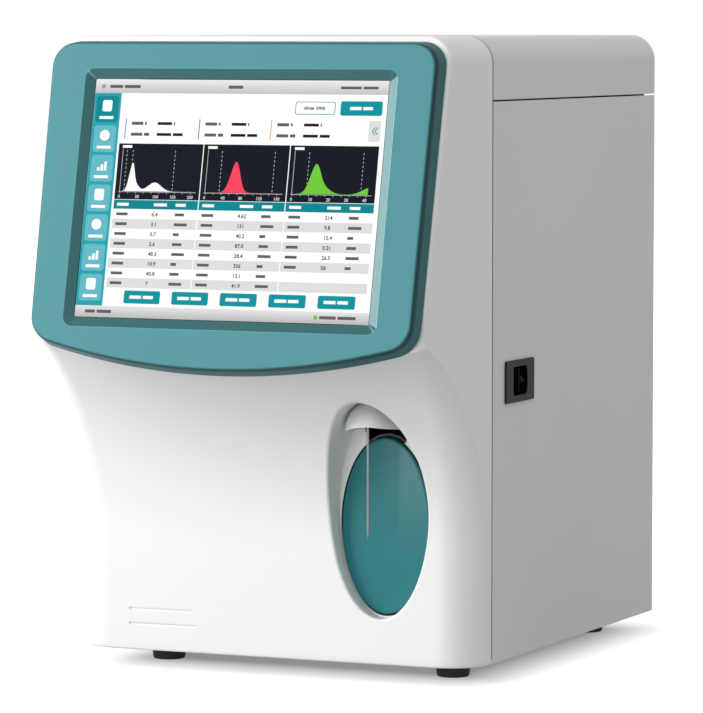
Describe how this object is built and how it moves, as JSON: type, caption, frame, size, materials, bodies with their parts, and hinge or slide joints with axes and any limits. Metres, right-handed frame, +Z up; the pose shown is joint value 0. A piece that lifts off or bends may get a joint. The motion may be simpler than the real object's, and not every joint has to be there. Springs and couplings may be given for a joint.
{
  "type": "clinical analyzer",
  "caption": "Benchtop blood analyzer: moulded front with a tilted touch display and an oval sample bay, hinged side service door, fluidics and electronics inside.",
  "frame": {"origin": "on the surface it stands on, under the middle of its outline", "axes": "+Z up, the display and the sample bay face -Y, +X to the right of someone facing the display"},
  "size_m": [0.2976, 0.4148, 0.4269],
  "materials": {
    "front_cover_finish": "fine satin moulding, off-white",
    "screen_bezel_finish": "satin moulding, grey teal",
    "touch_glass_finish": "glossy cover glass over a lit panel",
    "lcd_module_finish": "zinc-plated sheet",
    "probe_hood_finish": "fine satin moulding, off-white",
    "aspirate_key_finish": "semi-gloss moulding, deep teal",
    "key_switch_cup_finish": "moulded, dark grey",
    "key_spring_finish": "ground and polished",
    "probe_needle_finish": "ground and polished",
    "probe_wipe_finish": "natural acetal",
    "lift_frame_finish": "milled and clear anodised",
    "left_guide_rod_finish": "ground and polished",
    "right_guide_rod_finish": "ground and polished",
    "probe_carriage_finish": "black anodised",
    "drive_pulley_finish": "milled and clear anodised",
    "idler_pulley_finish": "milled and clear anodised",
    "lift_belt_finish": "dark moulded rubber",
    "lift_motor_finish": "black anodised",
    "right_door_finish": "powder coat, pale warm grey, fine texture",
    "left_panel_finish": "powder coat, pale warm grey, fine texture",
    "lower_hinge_bracket_finish": "ground and polished",
    "upper_hinge_bracket_finish": "ground and polished",
    "top_cover_finish": "powder coat, pale warm grey, fine texture",
    "base_plate_finish": "zinc-plated sheet",
    "front_left_foot_finish": "dark moulded rubber",
    "front_right_foot_finish": "dark moulded rubber",
    "rear_left_foot_finish": "dark moulded rubber",
    "rear_right_foot_finish": "dark moulded rubber",
    "partition_finish": "zinc-plated sheet",
    "latch_frame_finish": "moulded, mid grey",
    "latch_slider_finish": "moulded, near black",
    "latch_spring_finish": "ground and polished",
    "rear_panel_finish": "powder coat, pale warm grey, fine texture",
    "fan_frame_finish": "moulded, dark grey",
    "fan_rotor_finish": "moulded, dark grey",
    "fan_guard_finish": "plated wire",
    "mains_inlet_finish": "moulded, near black",
    "power_rocker_finish": "moulded, near black",
    "port_plate_finish": "zinc-plated sheet",
    "fluid_fittings_finish": "natural acetal",
    "bath_shelf_finish": "zinc-plated sheet",
    "white_cell_bath_finish": "clear",
    "red_cell_bath_finish": "clear",
    "drain_valves_finish": "moulded, dark grey",
    "valve_manifold_finish": "clear",
    "valve_row_finish": "moulded, dark grey",
    "vacuum_chamber_finish": "natural acetal",
    "syringe_frame_finish": "milled and clear anodised",
    "small_syringe_barrel_finish": "clear",
    "large_syringe_barrel_finish": "clear",
    "small_plunger_finish": "natural acetal",
    "large_plunger_finish": "natural acetal",
    "syringe_crosshead_finish": "milled and clear anodised",
    "syringe_motor_finish": "black anodised",
    "waste_pump_housing_finish": "moulded, dark grey",
    "waste_pump_motor_finish": "ground and polished",
    "waste_pump_rotor_finish": "natural acetal",
    "power_supply_finish": "zinc-plated sheet",
    "main_board_finish": "green solder mask"
  },
  "bodies": {
    "cabinet": {"front_cover": "front_cover_finish", "screen_bezel": "screen_bezel_finish", "touch_glass": "touch_glass_finish", "lcd_module": "lcd_module_finish", "probe_hood": "probe_hood_finish", "key_switch_cup": "key_switch_cup_finish", "key_spring": "key_spring_finish", "probe_wipe": "probe_wipe_finish", "lift_frame": "lift_frame_finish", "left_guide_rod": "left_guide_rod_finish", "right_guide_rod": "right_guide_rod_finish", "lift_belt": "lift_belt_finish", "lift_motor": "lift_motor_finish", "left_panel": "left_panel_finish", "lower_hinge_bracket": "lower_hinge_bracket_finish", "upper_hinge_bracket": "upper_hinge_bracket_finish", "top_cover": "top_cover_finish", "base_plate": "base_plate_finish", "front_left_foot": "front_left_foot_finish", "front_right_foot": "front_right_foot_finish", "rear_left_foot": "rear_left_foot_finish", "rear_right_foot": "rear_right_foot_finish", "partition": "partition_finish", "rear_panel": "rear_panel_finish", "fan_frame": "fan_frame_finish", "fan_guard": "fan_guard_finish", "mains_inlet": "mains_inlet_finish", "port_plate": "port_plate_finish", "fluid_fittings": "fluid_fittings_finish", "bath_shelf": "bath_shelf_finish", "white_cell_bath": "white_cell_bath_finish", "red_cell_bath": "red_cell_bath_finish", "drain_valves": "drain_valves_finish", "valve_manifold": "valve_manifold_finish", "valve_row": "valve_row_finish", "vacuum_chamber": "vacuum_chamber_finish", "syringe_frame": "syringe_frame_finish", "small_syringe_barrel": "small_syringe_barrel_finish", "large_syringe_barrel": "large_syringe_barrel_finish", "syringe_motor": "syringe_motor_finish", "waste_pump_housing": "waste_pump_housing_finish", "waste_pump_motor": "waste_pump_motor_finish", "power_supply": "power_supply_finish", "main_board": "main_board_finish"},
    "key": {"aspirate_key": "aspirate_key_finish"},
    "probe": {"probe_carriage": "probe_carriage_finish", "probe_needle": "probe_needle_finish"},
    "lift_drive": {"drive_pulley": "drive_pulley_finish"},
    "lift_idler": {"idler_pulley": "idler_pulley_finish"},
    "door": {"right_door": "right_door_finish", "latch_frame": "latch_frame_finish", "latch_spring": "latch_spring_finish"},
    "door_latch": {"latch_slider": "latch_slider_finish"},
    "fan": {"fan_rotor": "fan_rotor_finish"},
    "power_switch": {"power_rocker": "power_rocker_finish"},
    "plungers": {"syringe_crosshead": "syringe_crosshead_finish", "small_plunger": "small_plunger_finish", "large_plunger": "large_plunger_finish"},
    "waste_rotor": {"waste_pump_rotor": "waste_pump_rotor_finish"}
  },
  "joints": [
    {"name": "key_press", "type": "slide", "parent": "cabinet", "child": "key", "axis": [0, 1, 0], "range_m": [0, 0.003], "stiffness_N_per_m": 400, "springref_m": -0.001, "deforming": ["key_spring"]},
    {"name": "probe_lift", "type": "slide", "parent": "cabinet", "child": "probe", "axis": [0, 0, 1], "range_m": [0, 0.096]},
    {"name": "drive_pulley_turn", "type": "hinge", "parent": "cabinet", "child": "lift_drive", "pos_m": [0.0792, -0.11507, 0.3172], "axis": [0, 1, 0], "range_deg": [-630, 0]},
    {"name": "idler_pulley_turn", "type": "hinge", "parent": "cabinet", "child": "lift_idler", "pos_m": [0.0792, -0.11507, 0.2172], "axis": [0, 1, 0], "range_deg": [-630, 0]},
    {"name": "door_swing", "type": "hinge", "parent": "cabinet", "child": "door", "pos_m": [0.1412, 0.19943, 0.1942], "axis": [0, 0, 1], "range_deg": [0, 110]},
    {"name": "latch_slide", "type": "slide", "parent": "door", "child": "door_latch", "axis": [0, 1, 0], "range_m": [0, 0.005], "stiffness_N_per_m": 300, "springref_m": -0.002, "deforming": ["latch_spring"]},
    {"name": "fan_spin", "type": "hinge", "parent": "cabinet", "child": "fan", "pos_m": [-0.0828, 0.17843, 0.3142], "axis": [0, 1, 0], "continuous": true},
    {"name": "power_switch_rock", "type": "hinge", "parent": "cabinet", "child": "power_switch", "pos_m": [-0.0708, 0.19323, 0.0742], "axis": [1, 0, 0], "range_deg": [0, 16]},
    {"name": "syringe_stroke", "type": "slide", "parent": "cabinet", "child": "plungers", "axis": [0, 0, -1], "range_m": [0, 0.05]},
    {"name": "waste_rotor_turn", "type": "hinge", "parent": "cabinet", "child": "waste_rotor", "pos_m": [0.1062, 0.12843, 0.0542], "axis": [1, 0, 0], "continuous": true}
  ],
  "couplings": [
    {"joint": "drive_pulley_turn", "follows": "probe_lift", "rad_per_m": -113.64},
    {"joint": "idler_pulley_turn", "follows": "probe_lift", "rad_per_m": -113.64}
  ]
}
